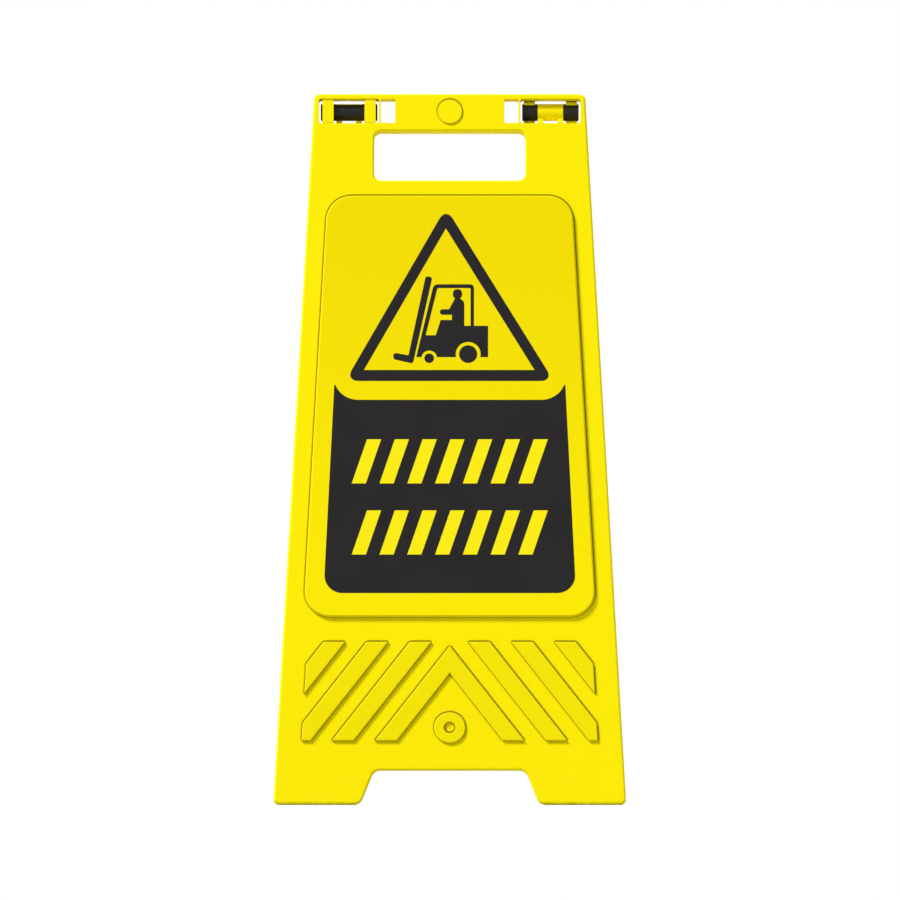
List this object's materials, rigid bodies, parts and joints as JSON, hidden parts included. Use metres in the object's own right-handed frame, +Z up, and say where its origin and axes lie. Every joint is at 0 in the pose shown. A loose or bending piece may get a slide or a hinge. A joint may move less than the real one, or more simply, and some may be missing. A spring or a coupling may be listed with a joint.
{
  "type": "a-frame caution sign",
  "caption": "Folding A-frame floor sign: tapered moulded panels with a carrying hole, raised label field and chevron bars, hinged at the head on snap-in pins.",
  "frame": {"origin": "on the floor, midway between the feet of the open sign", "axes": "+Z up, +X to the right as seen from the front, the front panel on the -Y side"},
  "size_m": [0.2996, 0.2954, 0.6037],
  "materials": {
    "yellow_plastic": "fine moulded satin",
    "label_vinyl": "smooth printed vinyl",
    "black_plastic": "moulded satin"
  },
  "bodies": {
    "front": {"front_panel": "yellow_plastic", "front_label": "label_vinyl", "right_hinge_pin": "black_plastic"},
    "rear": {"rear_panel": "yellow_plastic", "left_hinge_pin": "black_plastic"}
  },
  "joints": [
    {"name": "fold", "type": "hinge", "parent": "front", "child": "rear", "pos_m": [0, 0, 0.58812], "axis": [-1, 0, 0], "range_deg": [0, 26]}
  ]
}
